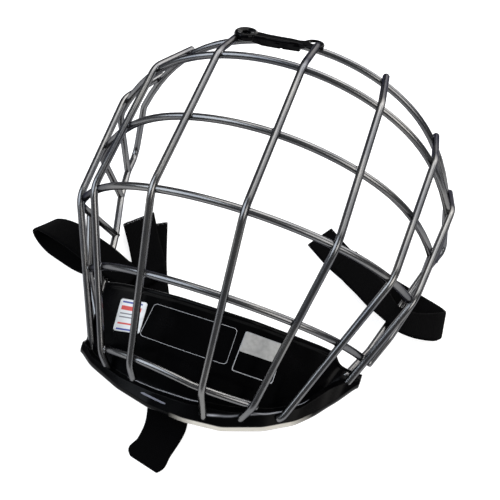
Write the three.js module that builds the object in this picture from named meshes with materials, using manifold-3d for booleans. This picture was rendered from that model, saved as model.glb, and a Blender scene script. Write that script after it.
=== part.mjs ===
// Hockey cage face mask lying face up: a welded wire cage with a chin cup, a top clip and webbing straps.
// The cage, the cup and the clip are drawn upright, front to -Y and brow up, and then leaned back onto the
// floor. The straps are drawn where they lie on the floor.
import * as THREE from "three";
import { mergeVertices } from "three/addons/utils/BufferGeometryUtils.js";
import Module from "manifold-3d";

const wasm = await Module();
wasm.setup();

// Driving dimensions in millimetres and degrees.
const WIRE = 3.5;
const WIRE_SIDES = 6;
const WIRE_STEP = 6.5;
const WELD_BITE = 0.8;
const WIRE_CLEARANCE = 0.4;
const UPRIGHT_STUB = 2;
const UPRIGHT_BEND = 16;
const BAR_BEND = 22;
const FRAME_BEND = 9;
const BEND_ROOM = 0.48;
const CURL_ROUND = 0.62;
const CURL_SQUARE = 0.38;
const BAR_POINTS = 14;
const TOP_BAR_REACH = 1.03;
const LEAN = -60;
const FLOOR_DROP = 116.1;
const CUP_WALL = 2.6;
const CLIP_EYE = 5.4;
const CLIP_HOLE_LENGTH = 5.4;
const CLIP_HOLE_WIDTH = 3.4;
const CLIP_NECK = 1.9;
const CLIP_THICKNESS = 3.4;
const CLIP_TILT = 45;
const CLIP_RAISE_LEFT = 2.8;
const CLIP_RAISE_RIGHT = 0.6;
const CLIP_END_GAP = 4;
const CLIP_JAW_LENGTH = 16;
const CLIP_JAW_WIDTH = 6.2;
const CLIP_JAW_DROP = 2.4;
const CLIP_JAW_PLACE = 0.52;
const CLIP_SEGMENTS = 9;
const WEB_THICKNESS = 1.6;
const SAME_POINT = 1e-4;

// The five rings that the uprights are bent at, from the top bar to the ends in the chin lip.
// front and level place the middle of a ring, halfWidth and depth its outermost uprights, fall how much
// lower these sit, skew how far the right side hangs below the left one, and tilt how far the cage wall
// faces up there, in degrees.
const RINGS = [
  { name: "top", front: 41, level: 59, halfWidth: 95, depth: 50, fall: 41, skew: 0, tilt: 51 },
  { name: "brow", front: 15, level: 39, halfWidth: 98, depth: 48, fall: 35, skew: 2, tilt: 36 },
  { name: "muzzle", front: -16, level: -43, halfWidth: 95, depth: 55, fall: 14, skew: -1.5, tilt: 0 },
  { name: "chin", front: 21, level: -131, halfWidth: 65, depth: 35, fall: 2, skew: -1, tilt: -33 },
  { name: "base", front: 36, level: -147, halfWidth: 57, depth: 27, fall: -9, skew: -3, tilt: -43 },
];

// Where each upright crosses the rings, as a share of their half width, and at which place it ends.
const UPRIGHTS = [
  { name: "v1", top: -0.93, brow: -1.0, muzzle: -0.99, chin: -0.97, base: -0.95, end: 3.25 },
  { name: "v2", top: -0.75, brow: -0.81, muzzle: -0.855, chin: -0.82, base: -0.78, end: 3.7 },
  { name: "v3", top: -0.46, brow: -0.45, muzzle: -0.475, chin: -0.52, base: -0.46, end: 3.6 },
  { name: "v4", top: 0.01, brow: 0.01, muzzle: 0.02, chin: 0.09, base: 0.18, end: 3.85 },
  { name: "v5", top: 0.43, brow: 0.45, muzzle: 0.495, chin: 0.49, base: 0.42, end: 3.75 },
  { name: "v6", top: 0.81, brow: 0.81, muzzle: 0.815, chin: 0.73, base: 0.62, end: 3.25 },
  { name: "v7", top: 1.01, brow: 1.0, muzzle: 0.97, chin: 0.98, base: 0.95, end: 2.68 },
];

// The cross bars, at their place between the rings: how far they reach to the left and to the right, how far
// they swing up left of the middle and down right of it, and the joint of the rear frame that they turn back to.
const BARS = [
  { name: "h2", place: 1, left: 1.05, right: 1.02, swing: 0, rear: "h2" },
  { name: "h3", place: 1.48, left: 1.05, right: 1.0, swing: 0, rear: "h3" },
  { name: "h4", place: 2, left: 1.05, right: 0.99, swing: 0, rear: "h4" },
  { name: "h5", place: 2.47, left: 1.01, right: 1.0, swing: 0, rear: null },
  { name: "h6", place: 3, left: 0.98, right: 0.62, swing: 0.03, rear: null },
];

// The rear frame from the corners of the top bar down to the ends of the chin cup. The cage is racked a little,
// so that its right side stands higher than its left one.
const REAR_LEFT = [
  { name: "corner", out: -98.5, back: 123.4, level: -14.5 },
  { name: "h2", out: -95.4, back: 109.5, level: -28.5 },
  { name: "h3", out: -90.6, back: 98.3, level: -45.7 },
  { name: "h4", out: -82.3, back: 87, level: -69.5 },
  { name: "jaw", out: -74.8, back: 71.4, level: -95.3 },
  { name: "end", out: -70.8, back: 60.5, level: -105.6 },
];
const REAR_RIGHT = [
  { name: "corner", out: 105, back: 125.5, level: -10.8 },
  { name: "h2", out: 101.5, back: 118, level: -19.5 },
  { name: "h3", out: 97.3, back: 108.6, level: -30.2 },
  { name: "h4", out: 91.1, back: 95.9, level: -50.1 },
  { name: "jaw", out: 80, back: 72.7, level: -85.3 },
  { name: "end", out: 71.7, back: 50.5, level: -102.3 },
];

// The side uprights behind the outermost ones, on the left from the fourth bar down into the end of the chin
// lip and on the right to the fifth bar.
const SIDE_LEFT = [
  { out: -93.6, back: 62.7, level: -64.2 },
  { out: -83, back: 62, level: -94 },
  { out: -66, back: 60, level: -122 },
  { out: -61, back: 56, level: -131 },
];
const SIDE_RIGHT = [
  { out: 93, back: 58, level: -54.6 },
  { out: 87.5, back: 57, level: -75 },
  { out: 81, back: 50.5, level: -92 },
];

// The chin cup from left to right: the front of its wall top, of the crease above its lip and of its rim, each
// with how far back and at which level it stands.
const CUP = [
  { across: -68, wallBack: 50, wall: -97, creaseBack: 53, crease: -130, rimBack: 48, rim: -136 },
  { across: -60, wallBack: 45, wall: -95, creaseBack: 50, crease: -136.5, rimBack: 45, rim: -141 },
  { across: -40, wallBack: 30, wall: -92.5, creaseBack: 44, crease: -140.5, rimBack: 38, rim: -147 },
  { across: -20, wallBack: 21, wall: -91, creaseBack: 38, crease: -140.5, rimBack: 32, rim: -150 },
  { across: 0, wallBack: 18, wall: -90.5, creaseBack: 36, crease: -139.5, rimBack: 30, rim: -150.5 },
  { across: 20, wallBack: 21, wall: -90, creaseBack: 38, crease: -136.5, rimBack: 32, rim: -148.5 },
  { across: 40, wallBack: 30, wall: -90.5, creaseBack: 42, crease: -131, rimBack: 35, rim: -141.5 },
  { across: 55, wallBack: 40, wall: -91, creaseBack: 47, crease: -123, rimBack: 39, rim: -133 },
  { across: 64, wallBack: 48, wall: -92, creaseBack: 49.5, crease: -111, rimBack: 42.5, rim: -124.5 },
  { across: 66, wallBack: 51, wall: -97, creaseBack: 49.5, crease: -107.5, rimBack: 43.2, rim: -121.5 },
  { across: 72, wallBack: 52, wall: -98.3, creaseBack: 48, crease: -103.5, rimBack: 44, rim: -114.5 },
  { across: 80, wallBack: 52, wall: -98.8, creaseBack: 50, crease: -100.2, rimBack: 48, rim: -103.5 },
];
// The lip stands out to a ridge a little below the crease.
const LIP_FORWARD = 0.5;
const LIP_RIDGE = 0.2;
// The heel behind the rim is widest in the middle and fades over its spread to its least share.
const CUP_HEEL = 12.5;
const CUP_HEEL_DROP = 2;
const CUP_HEEL_SPREAD = 72;
const CUP_HEEL_LEAST = 0.45;
const CUP_RIM_EDGE = 1.5;
const CUP_RIM_ROUND = 1;
const CUP_CREASE_WALL = 5;
const CUP_CREASE_RISE = 0.08;

// The straps as they lie: one row per place along the webbing, with its edge nearer to the chin and its edge
// nearer to the brow, as left-right, chin-brow and height over the floor.
// The left strap runs from its cut end inside the mask to a slanting fold, out under the rear frame, round the
// open loop and back over the frame.
const STRAP_LEFT = [
  { near: [-82, -7, 4.6], far: [-68, 7, 4.6] },
  { near: [-73, -19.5, 4.4], far: [-58, -8, 4.4] },
  { near: [-63, -35, 4.4], far: [-48.5, -21.5, 4.4] },
  { near: [-56, -46.5, 4.3], far: [-45.6, -27, 4.3] },
  { near: [-55.3, -46.8, 3.5], far: [-44.9, -27.3, 3.5] },
  { near: [-56, -46.5, 2.7], far: [-45.6, -27, 2.7] },
  { near: [-68, -45.5, 2.7], far: [-68, -25.5, 2.7] },
  { near: [-80, -46, 1.4], far: [-79, -26, 1.4] },
  { near: [-93, -46, 0.9], far: [-89, -26, 0.9] },
  { near: [-106, -43.2, 0.9], far: [-101, -24, 0.9] },
  { near: [-118, -39.4, 1.3], far: [-109.5, -21.5, 1.0] },
  { near: [-123, -37.1, 3], far: [-113.5, -20.8, 1.6] },
  { near: [-126, -35.6, 6], far: [-116.5, -21, 3.2] },
  { near: [-126.5, -35.3, 10], far: [-118, -21.8, 6] },
  { near: [-123.6, -35.7, 14], far: [-117.5, -22.2, 9.5] },
  { near: [-118, -38, 17], far: [-114.3, -22.3, 12] },
  { near: [-105, -41.6, 18.6], far: [-103.5, -22.7, 13.5] },
  { near: [-92, -44.5, 15.5], far: [-89, -25.8, 12] },
  { near: [-83, -46.5, 12.5], far: [-79.5, -28, 10.6] },
  { near: [-72, -48.5, 9.9], far: [-68, -31, 9.1] },
  { near: [-62, -50.5, 7.2], far: [-58, -32.5, 7.7] },
];
// The right strap runs out flat under the rear frame, turns round a low loop and comes back over the frame.
const STRAP_RIGHT = [
  { near: [26, 25, 0.8], far: [36, 42.5, 0.8] },
  { near: [46, 12, 0.8], far: [54.5, 30, 0.8] },
  { near: [62, 5, 0.8], far: [68, 24.2, 0.8] },
  { near: [79, 0.8, 0.8], far: [83.4, 20.8, 0.8] },
  { near: [95.5, -3.8, 0.9], far: [100.4, 15.9, 0.9] },
  { near: [105.5, -7, 1.2], far: [109.5, 13.3, 1.2] },
  { near: [112.5, -10, 3], far: [114.3, 10.6, 2.8] },
  { near: [115.9, -12.1, 7.5], far: [115.2, 8, 5.4] },
  { near: [114.1, -16.7, 11], far: [112, 3.6, 8.6] },
  { near: [107.9, -20.6, 13.8], far: [106, -0.9, 10.6] },
  { near: [98.6, -22.9, 15.6], far: [99.4, -4.2, 11.7] },
  { near: [91.7, -22.2, 15.6], far: [94.4, -4.6, 12] },
  { near: [85.1, -18.3, 14.3], far: [89.6, -4.2, 11.9] },
  { near: [77, -12.3, 11.2], far: [84.6, 0.8, 10.2] },
  { near: [71.9, -8.2, 8.3], far: [80, 8, 8] },
  { near: [62.9, -0.1, 4.8], far: [72.5, 16.5, 4.8] },
  { near: [54, 6.4, 3], far: [64, 23.5, 3] },
  { near: [45.7, 12.8, 2.7], far: [55, 30.4, 2.7] },
];
// The tail lies flat on the floor from its cut end inside the mask, under the chin cup and out in front of it.
const STRAP_TAIL = [
  { near: [-78, 0, 0.8], far: [-59, 7, 0.8] },
  { near: [-63, -35, 0.8], far: [-45, -27, 0.8] },
  { near: [-40, -76, 0.8], far: [-22, -67, 0.8] },
  { near: [-24, -104, 0.8], far: [-3, -99, 0.8] },
  { near: [-19.7, -117, 0.8], far: [2, -114, 0.8] },
  { near: [-19.6, -127, 0.8], far: [0, -130, 0.8] },
  { near: [-20.8, -136, 0.8], far: [-2, -139.5, 0.8] },
  { near: [-19.4, -137.3, 0.8], far: [-3.2, -140.8, 0.8] },
];

const frame = new THREE.Group();
const leaned = new THREE.Group();
leaned.rotation.x = THREE.MathUtils.degToRad(LEAN);
leaned.position.z = FLOOR_DROP;
frame.add(leaned);

const STEEL = new THREE.MeshStandardMaterial({ color: 0x9a9a9c, roughness: 0.35, metalness: 1 });
const GLOSS_BLACK = new THREE.MeshStandardMaterial({ color: 0x0b0b0d, roughness: 0.25, metalness: 0 });
const WEBBING = new THREE.MeshStandardMaterial({ color: 0x0e0e11, roughness: 0.9, metalness: 0 });

// How far a ring has turned back at a share of its half width, and how steeply: round in the middle, square at
// the sides.
const curl = (share) => CURL_ROUND * share ** 2 + CURL_SQUARE * share ** 6;
const curlSlope = (share) => 2 * CURL_ROUND * share + 6 * CURL_SQUARE * share ** 5;

function ringAt(place) {
  const low = Math.max(0, Math.min(Math.floor(place), RINGS.length - 2));
  const ring = {};
  for (const key of ["front", "level", "halfWidth", "depth", "fall", "skew", "tilt"]) {
    ring[key] = THREE.MathUtils.lerp(RINGS[low][key], RINGS[low + 1][key], place - low);
  }
  return ring;
}

// A point of the cage wall: place counts the rings from the top, and outset goes away from the face.
function cagePoint(place, share, outset) {
  const ring = ringAt(place);
  const run = new THREE.Vector2(ring.halfWidth, ring.depth * curlSlope(share)).normalize();
  const tilt = THREE.MathUtils.degToRad(ring.tilt);
  const sideways = outset * Math.cos(tilt);
  return new THREE.Vector3(
    share * ring.halfWidth + sideways * run.y,
    ring.front + ring.depth * curl(share) - sideways * run.x,
    ring.level - ring.fall * curl(share) - ring.skew * share + outset * Math.sin(tilt),
  );
}

// The uprights stand a wire off the bars: in the middle they give way outwards, at the sides the bars inwards.
const SEAT = WIRE - WELD_BITE;
const uprightPoint = (place, share) => cagePoint(place, share, SEAT * (1 - share ** 2));
const barPoint = (place, share) => cagePoint(place, share, -SEAT * share ** 2);

// A wire's middle line: straight runs joined by bends.
function bentPath(points, bend) {
  const path = new THREE.CurvePath();
  let start = points[0];
  for (let i = 1; i < points.length - 1; i++) {
    const before = points[i - 1].clone().sub(points[i]);
    const after = points[i + 1].clone().sub(points[i]);
    const turn = Math.PI - before.angleTo(after);
    const wanted = bend * Math.tan(turn / 2);
    const cut = Math.min(wanted, BEND_ROOM * before.length(), BEND_ROOM * after.length());
    const enter = points[i].clone().addScaledVector(before.normalize(), cut);
    const leave = points[i].clone().addScaledVector(after.normalize(), cut);
    path.add(new THREE.LineCurve3(start, enter));
    path.add(new THREE.QuadraticBezierCurve3(enter, points[i].clone(), leave));
    start = leave;
  }
  path.add(new THREE.LineCurve3(start, points[points.length - 1]));
  return path;
}

// A round section drawn as a polygon of the same area.
function roundSection(diameter) {
  const turn = (2 * Math.PI) / WIRE_SIDES;
  const radius = (diameter / 2) * Math.sqrt((2 * Math.PI) / (WIRE_SIDES * Math.sin(turn)));
  const corners = [];
  for (let i = 0; i < WIRE_SIDES; i++) {
    corners.push(new THREE.Vector2(radius * Math.cos(i * turn), radius * Math.sin(i * turn)));
  }
  return new THREE.Shape(corners);
}

// The same run drawn out past both of its ends.
function drawnOut(points, reach) {
  const first = points[0].clone().sub(points[1]).setLength(reach).add(points[0]);
  const last = points.at(-1).clone().sub(points.at(-2)).setLength(reach).add(points.at(-1));
  return [first, ...points.slice(1, -1), last];
}

function wire(points, bend, diameter) {
  const path = bentPath(points, bend);
  const steps = Math.ceil(path.getLength() / WIRE_STEP);
  return new THREE.ExtrudeGeometry(roundSection(diameter), { steps, extrudePath: path });
}

// Closed meshes to solids and back, for adding and cutting.
function solid(geometry) {
  const bare = new THREE.BufferGeometry();
  bare.setAttribute("position", geometry.getAttribute("position").clone());
  bare.setIndex(geometry.getIndex());
  const joined = mergeVertices(bare, SAME_POINT);
  const vertProperties = new Float32Array(joined.getAttribute("position").array);
  const triVerts = new Uint32Array(joined.getIndex().array);
  return new wasm.Manifold(new wasm.Mesh({ numProp: 3, vertProperties, triVerts }));
}

function geometryOf(body) {
  const mesh = body.getMesh();
  const geometry = new THREE.BufferGeometry();
  geometry.setAttribute("position", new THREE.BufferAttribute(new Float32Array(mesh.vertProperties), 3));
  geometry.setIndex(new THREE.BufferAttribute(new Uint32Array(mesh.triVerts), 1));
  geometry.computeVertexNormals();
  return geometry;
}

function addMesh(parent, name, geometry, material) {
  const mesh = new THREE.Mesh(geometry, material.clone());
  mesh.name = name;
  parent.add(mesh);
}

// A skin over rows of points: each row is one closed section, and the first and last are capped.
function loft(sections) {
  const count = sections[0].length;
  const position = sections.flat().flatMap((point) => point.toArray());
  const index = [];
  for (let s = 0; s + 1 < sections.length; s++) {
    for (let i = 0; i < count; i++) {
      const a = s * count + i;
      const b = s * count + ((i + 1) % count);
      index.push(a, b, a + count, b, b + count, a + count);
    }
  }
  for (const [row, flip] of [[0, true], [sections.length - 1, false]]) {
    const origin = sections[row][0];
    const along = sections[row][2].clone().sub(origin);
    const across = sections[row][count - 1].clone().sub(origin);
    const normal = along.clone().cross(across).normalize();
    const ex = along.clone().normalize();
    const ey = normal.clone().cross(ex);
    const flat = sections[row].map((point) => {
      const offset = point.clone().sub(origin);
      return new THREE.Vector2(offset.dot(ex), offset.dot(ey));
    });
    const clockwise = THREE.ShapeUtils.isClockWise(flat);
    for (const face of THREE.ShapeUtils.triangulateShape(flat, [])) {
      const [a, b, c] = face.map((i) => row * count + i);
      index.push(...(flip !== clockwise ? [a, c, b] : [a, b, c]));
    }
  }
  const geometry = new THREE.BufferGeometry();
  geometry.setAttribute("position", new THREE.Float32BufferAttribute(position, 3));
  geometry.setIndex(index);
  geometry.computeVertexNormals();
  return geometry;
}

// Wire cage: the uprights lie outside the bars, and every crossing is welded.
const framePoint = (row) => new THREE.Vector3(row.out, row.back, row.level);

function uprightPoints(row) {
  const points = RINGS.map((ring, place) => uprightPoint(place, row[ring.name]));
  const stub = points[0].clone().sub(points[1]).setLength(WIRE / 2 + UPRIGHT_STUB);
  points[0].add(stub);
  const last = Math.ceil(row.end);
  points[last].lerpVectors(points[last - 1], points[last], row.end - last + 1);
  return points.slice(0, last + 1);
}

function barArc(place, left, right, swing) {
  const points = [];
  for (let i = 0; i <= BAR_POINTS; i++) {
    const share = THREE.MathUtils.lerp(-left, right, i / BAR_POINTS);
    points.push(barPoint(place + swing * Math.sin(Math.PI * share), share));
  }
  return points;
}

function topBarPoints() {
  const left = REAR_LEFT.map(framePoint).reverse();
  const right = REAR_RIGHT.map(framePoint);
  return [...left, ...barArc(0, TOP_BAR_REACH, TOP_BAR_REACH, 0), ...right];
}

function barPoints(row) {
  const points = barArc(row.place, row.left, row.right, row.swing);
  if (row.rear === null) {
    return points;
  }
  const left = REAR_LEFT.find((joint) => joint.name === row.rear);
  const right = REAR_RIGHT.find((joint) => joint.name === row.rear);
  return [framePoint(left), ...points, framePoint(right)];
}

const wireRuns = [
  { points: topBarPoints(), bend: FRAME_BEND },
  ...BARS.map((row) => ({ points: barPoints(row), bend: BAR_BEND })),
  ...UPRIGHTS.map((row) => ({ points: uprightPoints(row), bend: UPRIGHT_BEND })),
  ...[SIDE_LEFT, SIDE_RIGHT].map((rows) => ({ points: rows.map(framePoint), bend: UPRIGHT_BEND })),
];
const wires = wireRuns.map((run) => solid(wire(run.points, run.bend, WIRE)));
const sleeves = wireRuns.map((run) => {
  const points = drawnOut(run.points, WIRE_CLEARANCE);
  return solid(wire(points, run.bend, WIRE + 2 * WIRE_CLEARANCE));
});
addMesh(leaned, "wire_cage", geometryOf(wasm.Manifold.union(wires)), STEEL);

// Chin cup: a wall behind the wires that turns out at the crease into a lip, which the wire ends go into.
function cupSection(row) {
  const heel = CUP_HEEL * Math.max(CUP_HEEL_LEAST, 1 - (row.across / CUP_HEEL_SPREAD) ** 2);
  const outline = [
    [row.wallBack, row.wall],
    [row.creaseBack, row.crease],
    [row.rimBack - LIP_FORWARD, THREE.MathUtils.lerp(row.crease, row.rim, LIP_RIDGE)],
    [row.rimBack, row.rim + CUP_RIM_ROUND],
    [row.rimBack + CUP_RIM_EDGE, row.rim - CUP_RIM_ROUND],
    [row.rimBack + heel, row.rim - CUP_HEEL_DROP],
    [row.creaseBack + CUP_CREASE_WALL, THREE.MathUtils.lerp(row.crease, row.wall, CUP_CREASE_RISE)],
    [row.wallBack + CUP_WALL, row.wall],
  ];
  return outline.map(([back, level]) => new THREE.Vector3(row.across, back, level));
}
const sockets = wasm.Manifold.union(sleeves);
const cup = solid(loft(CUP.map(cupSection)));
addMesh(leaned, "chin_cup", geometryOf(cup.subtract(sockets)), GLOSS_BLACK);

// Top clip: a dog-bone plate over the top bar with an eye at each end and a jaw that hooks round the bar.
function clipSolid() {
  const leftTop = barPoint(0, UPRIGHTS[2].top);
  const rightTop = barPoint(0, UPRIGHTS[3].top);
  const along = rightTop.clone().sub(leftTop).normalize();
  const tilt = THREE.MathUtils.degToRad(CLIP_TILT);
  const outward = new THREE.Vector3(0, -Math.sin(tilt), Math.cos(tilt));
  const left = leftTop.clone().addScaledVector(along, CLIP_END_GAP);
  left.addScaledVector(outward, CLIP_RAISE_LEFT);
  const right = rightTop.clone().addScaledVector(along, -CLIP_END_GAP);
  right.addScaledVector(outward, CLIP_RAISE_RIGHT);
  const length = left.distanceTo(right);
  const ex = right.clone().sub(left).normalize();
  const ez = outward.clone().addScaledVector(ex, -outward.dot(ex)).normalize();
  const ey = ez.clone().cross(ex);
  const bone = new THREE.Shape();
  const shoulder = Math.asin(CLIP_NECK / CLIP_EYE);
  bone.absarc(0, 0, CLIP_EYE, shoulder, 2 * Math.PI - shoulder, false);
  bone.absarc(length, 0, CLIP_EYE, -Math.PI + shoulder, Math.PI - shoulder, false);
  for (const across of [0, length]) {
    const hole = new THREE.Path();
    hole.absellipse(across, 0, CLIP_HOLE_LENGTH / 2, CLIP_HOLE_WIDTH / 2, 0, 2 * Math.PI, true);
    bone.holes.push(hole);
  }
  const pressing = { depth: CLIP_THICKNESS, bevelEnabled: false, curveSegments: CLIP_SEGMENTS };
  const plate = new THREE.ExtrudeGeometry(bone, pressing);
  const jawHeight = CLIP_JAW_DROP + CLIP_THICKNESS / 2;
  const jaw = new THREE.BoxGeometry(CLIP_JAW_LENGTH, CLIP_JAW_WIDTH, jawHeight);
  jaw.translate(length * CLIP_JAW_PLACE, 0, jawHeight / 2 - CLIP_JAW_DROP);
  const place = new THREE.Matrix4().makeBasis(ex, ey, ez).setPosition(left);
  plate.applyMatrix4(place);
  jaw.applyMatrix4(place);
  return solid(plate).add(solid(jaw)).subtract(sockets);
}
addMesh(leaned, "top_clip", geometryOf(clipSolid()), GLOSS_BLACK);

// Straps: flat webbing between two edges.
function webbing(rows) {
  const edges = rows.map((row) => [new THREE.Vector3(...row.near), new THREE.Vector3(...row.far)]);
  const middles = edges.map(([near, far]) => near.clone().add(far).multiplyScalar(0.5));
  const last = rows.length - 1;
  const sections = edges.map(([near, far], i) => {
    const run = middles[Math.min(i + 1, last)].clone().sub(middles[Math.max(i - 1, 0)]);
    const half = far.clone().sub(near).cross(run).setLength(WEB_THICKNESS / 2);
    return [near.clone().add(half), far.clone().add(half), far.clone().sub(half), near.clone().sub(half)];
  });
  return loft(sections);
}
addMesh(frame, "strap_left", webbing(STRAP_LEFT), WEBBING);
addMesh(frame, "strap_right", webbing(STRAP_RIGHT), WEBBING);
addMesh(frame, "strap_tail", webbing(STRAP_TAIL), WEBBING);

// The middle of the mask's footprint goes over the origin.
const footprint = new THREE.Box3().setFromObject(frame, true);
const middle = footprint.getCenter(new THREE.Vector3());
frame.position.set(-middle.x, -middle.y, -footprint.min.z);
const mask = new THREE.Group();
mask.add(frame);

export default mask;
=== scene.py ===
# A hockey cage face mask lying face up on a pale floor, seen from above its chin.
# Lengths in the tables are millimetres; finished meshes are metres in the frame of the solids.
import math
from collections import namedtuple

import bmesh
import bpy
import numpy as np
from mathutils import Matrix, Vector


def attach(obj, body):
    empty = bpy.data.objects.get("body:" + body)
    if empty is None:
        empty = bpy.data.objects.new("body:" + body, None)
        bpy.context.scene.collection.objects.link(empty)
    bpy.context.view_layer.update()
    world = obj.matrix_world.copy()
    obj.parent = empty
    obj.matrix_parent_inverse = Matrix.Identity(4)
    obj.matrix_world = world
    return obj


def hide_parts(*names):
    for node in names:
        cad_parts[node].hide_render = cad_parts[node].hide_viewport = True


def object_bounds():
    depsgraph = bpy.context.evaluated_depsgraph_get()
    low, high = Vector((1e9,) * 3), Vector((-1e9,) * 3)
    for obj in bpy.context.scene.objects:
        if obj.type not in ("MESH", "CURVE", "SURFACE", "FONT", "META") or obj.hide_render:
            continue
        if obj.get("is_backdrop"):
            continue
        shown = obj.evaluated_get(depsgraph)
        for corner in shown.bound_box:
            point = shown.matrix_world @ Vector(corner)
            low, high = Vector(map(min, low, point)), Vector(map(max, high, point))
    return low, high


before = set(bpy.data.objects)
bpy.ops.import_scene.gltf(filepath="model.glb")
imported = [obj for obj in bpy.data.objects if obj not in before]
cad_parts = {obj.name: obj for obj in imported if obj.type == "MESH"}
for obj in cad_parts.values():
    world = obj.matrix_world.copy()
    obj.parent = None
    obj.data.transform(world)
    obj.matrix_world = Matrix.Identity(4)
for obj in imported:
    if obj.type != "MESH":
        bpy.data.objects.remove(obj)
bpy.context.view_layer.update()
scene = bpy.context.scene

# Camera: held over the chin, a little to the right, and rolled so that the brow leans to the left.
camera = bpy.data.objects.new("camera", bpy.data.cameras.new("camera"))
camera.data.sensor_width = 36
camera.data.lens = 63.05
camera.location = (0.06830, -0.25605, 0.43471)
camera.rotation_euler = [math.radians(angle) for angle in (34.68, -4.56, 19.62)]
scene.collection.objects.link(camera)
scene.camera = camera

# Wire cage: drawn steel wire bent to five rings, with uprights outside the bars and every crossing welded.
# The top bar turns down at the temples into the rear frame, whose two corners the mask rests on.
# The wires end inside the lip of the chin cup, and the steel is left bare with a satin finish.
MM = 0.001
CENTRE_X, CENTRE_Y, RISE = 0.005231, 0.031549, 0.116105
LEAN = math.radians(-60)
LEANED = (
    Matrix.Translation((CENTRE_X, CENTRE_Y, RISE))
    @ Matrix.Rotation(LEAN, 4, "X")
    @ Matrix.Scale(MM, 4)
)
WIRE = 3.5
WIRE_ROUND = 4.0
WELD_BITE = 0.8
SEAT = WIRE - WELD_BITE
WIRE_SIDES = 18
WIRE_STEP = 1.8
END_TURNS = (26, 52, 78)
END_BULGE = 0.4
FIRST_SIDE = (0.31, 0.52, 0.79)
CURL_ROUND, CURL_CORNER = 0.62, 0.38
BEND_REACH, BEND_STEPS = 0.48, 8
Ring = namedtuple("Ring", "front level half_width depth fall skew tilt")
RINGS = [
    Ring(41, 59, 95, 50, 41, 0, 51),
    Ring(15, 39, 98, 48, 35, 2, 36),
    Ring(-16, -43, 95, 55, 14, -1.5, 0),
    Ring(21, -131, 65, 35, 2, -1, -33),
    Ring(36, -147, 57, 27, -9, -3, -43),
]
Upright = namedtuple("Upright", "top brow muzzle chin base end stub")
UPRIGHTS = [
    Upright(-0.93, -1.0, -0.99, -0.97, -0.95, 3.25, 2),
    Upright(-0.75, -0.81, -0.855, -0.82, -0.78, 3.7, 2),
    Upright(-0.46, -0.45, -0.475, -0.52, -0.46, 3.4, 2),
    Upright(0.01, 0.01, 0.02, 0.09, 0.18, 3.85, -3),
    Upright(0.43, 0.45, 0.495, 0.49, 0.42, 3.55, 2),
    Upright(0.81, 0.81, 0.815, 0.73, 0.62, 3.15, 2),
    Upright(1.01, 1.0, 0.97, 0.98, 0.95, 2.68, 2),
]
UPRIGHT_BEND = 16
Bar = namedtuple("Bar", "place left right swing rear")
BARS = [
    Bar(1, 1.05, 1.02, 0, 1),
    Bar(1.48, 1.05, 1.0, 0, 2),
    Bar(2, 1.05, 0.99, 0, 3),
    Bar(2.47, 1.01, 1.0, 0, None),
    Bar(3, 0.98, 0.53, 0.03, None),
]
BAR_BEND = 22
BAR_POINTS = 44
TOP_BAR_REACH = 1.03
FRAME_BEND = 9
REAR_LEFT = [
    Vector((-98.5, 123.4, -14.5)),
    Vector((-95.4, 109.5, -28.5)),
    Vector((-90.6, 98.3, -45.7)),
    Vector((-82.3, 87, -69.5)),
    Vector((-74.8, 71.4, -95.3)),
    Vector((-70.8, 60.5, -105.6)),
]
REAR_RIGHT = [
    Vector((105, 125.5, -10.8)),
    Vector((101.5, 118, -19.5)),
    Vector((97.3, 108.6, -30.2)),
    Vector((91.1, 95.9, -50.1)),
    Vector((80, 72.7, -85.3)),
    Vector((71.7, 50.5, -102.3)),
]
SIDE_UPRIGHTS = [
    [(-93.6, 62.7, -64.2), (-83, 62, -94), (-66, 60, -122), (-61, 56, -131)],
    [(93, 58, -54.6), (87.5, 57, -75), (81, 50.5, -92)],
]


def curl(share):
    return CURL_ROUND * share**2 + CURL_CORNER * share**6


def curl_slope(share):
    return 2 * CURL_ROUND * share + 6 * CURL_CORNER * share**5


def ring_at(place):
    low = max(0, min(int(math.floor(place)), len(RINGS) - 2))
    return Ring(*(a + (b - a) * (place - low) for a, b in zip(RINGS[low], RINGS[low + 1])))


def cage_point(place, share, outset):
    ring = ring_at(place)
    run = Vector((ring.half_width, ring.depth * curl_slope(share))).normalized()
    tilt = math.radians(ring.tilt)
    sideways = outset * math.cos(tilt)
    return Vector(
        (
            share * ring.half_width + sideways * run.y,
            ring.front + ring.depth * curl(share) - sideways * run.x,
            ring.level - ring.fall * curl(share) - ring.skew * share + outset * math.sin(tilt),
        )
    )


def bar_point(place, share):
    return cage_point(place, share, -SEAT * share**2)


def round_corner(enter, corner, leave, step):
    return enter.lerp(corner, step).lerp(corner.lerp(leave, step), step)


def bent(points, bend):
    path = [points[0]]
    for before, here, after in zip(points, points[1:], points[2:]):
        back, on = before - here, after - here
        longest = BEND_REACH * min(back.length, on.length)
        cut = min(bend * math.tan((math.pi - back.angle(on)) / 2), longest)
        enter, leave = here + back.normalized() * cut, here + on.normalized() * cut
        path += [round_corner(enter, here, leave, k / BEND_STEPS) for k in range(BEND_STEPS + 1)]
    return path + [points[-1]]


def evened(path, step):
    path = np.array([tuple(point) for point in path])
    along = np.concatenate(([0], np.cumsum(np.linalg.norm(np.diff(path, axis=0), axis=1))))
    keep = np.concatenate(([True], np.diff(along) > 1e-6))
    marks = np.linspace(0, along[-1], max(2, int(along[-1] / step)) + 1)
    return np.stack([np.interp(marks, along[keep], path[keep, axis]) for axis in range(3)], 1)


def bar_arc(place, left, right, swing):
    shares = np.linspace(-left, right, BAR_POINTS)
    return [bar_point(place + swing * math.sin(math.pi * share), share) for share in shares]


def upright_path(upright):
    points = [cage_point(k, share, SEAT * (1 - share**2)) for k, share in enumerate(upright[:5])]
    points[0] += (points[0] - points[1]).normalized() * (WIRE / 2 + upright.stub)
    last = math.ceil(upright.end)
    points[last] = points[last - 1].lerp(points[last], upright.end - last + 1)
    return bent(points[: last + 1], UPRIGHT_BEND)


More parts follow.
